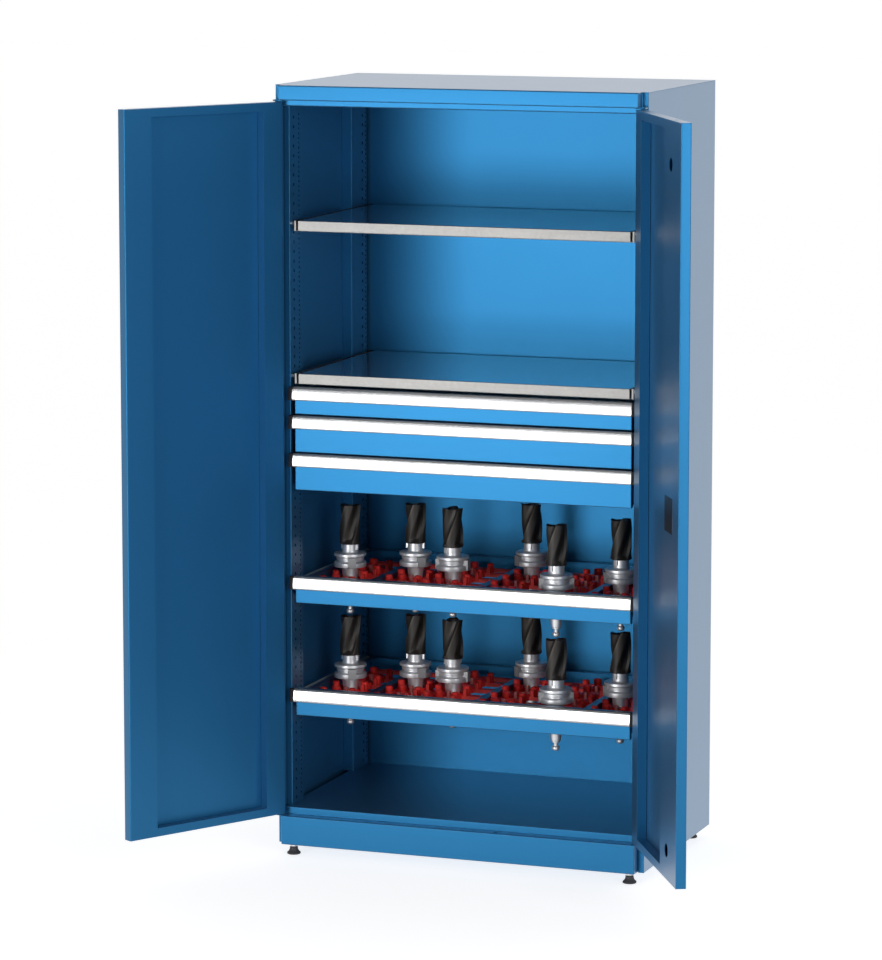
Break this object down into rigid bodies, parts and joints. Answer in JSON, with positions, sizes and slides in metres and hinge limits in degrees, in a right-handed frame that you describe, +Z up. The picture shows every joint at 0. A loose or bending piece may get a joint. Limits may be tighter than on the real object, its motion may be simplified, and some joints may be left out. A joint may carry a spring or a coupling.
{
  "type": "tool cabinet with hinged doors",
  "caption": "Blue steel tool cabinet with two hinged doors, open shelves, shallow drawers with pale handles and pull-out frames that hold tapered milling tool holders.",
  "frame": {"origin": "middle of the body's underside, 30 mm over the floor that the feet stand on", "axes": "+Z up, +X to the right seen from the front, +Y to the back; the doors and drawers are on the -Y side"},
  "size_m": [1.5018, 1.0387, 2.03],
  "materials": {
    "cabinet_paint": "glossy blue powder coat",
    "front_paint": "glossy blue powder coat",
    "galvanised": "galvanised steel sheet",
    "handle_profile": "pale anodised aluminium with black plastic end caps",
    "insert_plastic": "red plastic",
    "tool_steel": "ground steel with a dark coated cutter",
    "lock_metal": "dark grey",
    "rod_steel": "zinc plated steel",
    "foot_material": "dark grey plastic"
  },
  "bodies": {
    "carcass": {"left_side_panel": "cabinet_paint", "right_side_panel": "cabinet_paint", "back_panel": "cabinet_paint", "top_cover": "cabinet_paint", "base_plinth": "cabinet_paint", "floor_panel": "cabinet_paint", "front_left_upright": "cabinet_paint", "front_right_upright": "cabinet_paint", "rear_left_upright": "cabinet_paint", "rear_right_upright": "cabinet_paint", "upper_shelf": "galvanised", "lower_shelf": "galvanised", "drawer_1_rail_left": "galvanised", "drawer_1_rail_right": "galvanised", "drawer_2_rail_left": "galvanised", "drawer_2_rail_right": "galvanised", "drawer_3_rail_left": "galvanised", "drawer_3_rail_right": "galvanised", "pullout_1_rail_left": "galvanised", "pullout_1_rail_right": "galvanised", "pullout_2_rail_left": "galvanised", "pullout_2_rail_right": "galvanised"},
    "left_door": {"left_door": "cabinet_paint"},
    "right_door": {"right_door": "cabinet_paint", "lock_case": "lock_metal", "handle_rose": "lock_metal"},
    "door_handle": {"door_handle": "lock_metal"},
    "lock_rod_upper": {"lock_rod_upper": "rod_steel"},
    "lock_rod_lower": {"lock_rod_lower": "rod_steel"},
    "drawer_1": {"drawer_1_tray": "cabinet_paint", "drawer_1_front": "front_paint", "drawer_1_handle": "handle_profile"},
    "drawer_2": {"drawer_2_tray": "cabinet_paint", "drawer_2_front": "front_paint", "drawer_2_handle": "handle_profile"},
    "drawer_3": {"drawer_3_tray": "cabinet_paint", "drawer_3_front": "front_paint", "drawer_3_handle": "handle_profile"},
    "pullout_1": {"pullout_1_frame": "front_paint", "pullout_1_handle": "handle_profile", "pullout_1_inserts": "insert_plastic", "pullout_1_tool_1": "tool_steel", "pullout_1_tool_2": "tool_steel", "pullout_1_tool_3": "tool_steel", "pullout_1_tool_4": "tool_steel", "pullout_1_tool_5": "tool_steel", "pullout_1_tool_6": "tool_steel"},
    "pullout_2": {"pullout_2_frame": "front_paint", "pullout_2_handle": "handle_profile", "pullout_2_inserts": "insert_plastic", "pullout_2_tool_1": "tool_steel", "pullout_2_tool_2": "tool_steel", "pullout_2_tool_3": "tool_steel", "pullout_2_tool_4": "tool_steel", "pullout_2_tool_5": "tool_steel", "pullout_2_tool_6": "tool_steel"},
    "foot_front_left": {"foot_front_left": "foot_material"},
    "foot_front_right": {"foot_front_right": "foot_material"},
    "foot_rear_left": {"foot_rear_left": "foot_material"},
    "foot_rear_right": {"foot_rear_right": "foot_material"}
  },
  "joints": [
    {"name": "left_door_hinge", "type": "hinge", "parent": "carcass", "child": "left_door", "pos_m": [-0.4955, -0.2965, 1], "axis": [0, 0, -1], "range_deg": [-120, 0]},
    {"name": "right_door_hinge", "type": "hinge", "parent": "carcass", "child": "right_door", "pos_m": [0.4955, -0.2965, 1], "axis": [0, 0, 1], "range_deg": [-120, 0]},
    {"name": "door_handle_turn", "type": "hinge", "parent": "right_door", "child": "door_handle", "pos_m": [0.69903, -0.62702, 0.993], "axis": [0.866, 0.5, 0], "range_deg": [-90, 0]},
    {"name": "lock_rod_upper_slide", "type": "slide", "parent": "right_door", "child": "lock_rod_upper", "axis": [0, 0, 1], "range_m": [0, 0.015]},
    {"name": "lock_rod_lower_slide", "type": "slide", "parent": "right_door", "child": "lock_rod_lower", "axis": [0, 0, -1], "range_m": [0, 0.015]},
    {"name": "drawer_1_slide", "type": "slide", "parent": "carcass", "child": "drawer_1", "axis": [0, -1, 0], "range_m": [0, 0.43]},
    {"name": "drawer_2_slide", "type": "slide", "parent": "carcass", "child": "drawer_2", "axis": [0, -1, 0], "range_m": [0, 0.43]},
    {"name": "drawer_3_slide", "type": "slide", "parent": "carcass", "child": "drawer_3", "axis": [0, -1, 0], "range_m": [0, 0.43]},
    {"name": "pullout_1_slide", "type": "slide", "parent": "carcass", "child": "pullout_1", "axis": [0, -1, 0], "range_m": [0, 0.43]},
    {"name": "pullout_2_slide", "type": "slide", "parent": "carcass", "child": "pullout_2", "axis": [0, -1, 0], "range_m": [0, 0.43]},
    {"name": "foot_front_left_turn", "type": "hinge", "parent": "carcass", "child": "foot_front_left", "pos_m": [-0.465, -0.2735, 0], "axis": [0, 0, 1], "continuous": true},
    {"name": "foot_front_right_turn", "type": "hinge", "parent": "carcass", "child": "foot_front_right", "pos_m": [0.465, -0.2735, 0], "axis": [0, 0, 1], "continuous": true},
    {"name": "foot_rear_left_turn", "type": "hinge", "parent": "carcass", "child": "foot_rear_left", "pos_m": [-0.465, 0.2655, 0], "axis": [0, 0, 1], "continuous": true},
    {"name": "foot_rear_right_turn", "type": "hinge", "parent": "carcass", "child": "foot_rear_right", "pos_m": [0.465, 0.2655, 0], "axis": [0, 0, 1], "continuous": true}
  ],
  "couplings": [
    {"joint": "lock_rod_upper_slide", "follows": "door_handle_turn", "m_per_rad": -0.00954},
    {"joint": "lock_rod_lower_slide", "follows": "door_handle_turn", "m_per_rad": -0.00954}
  ]
}
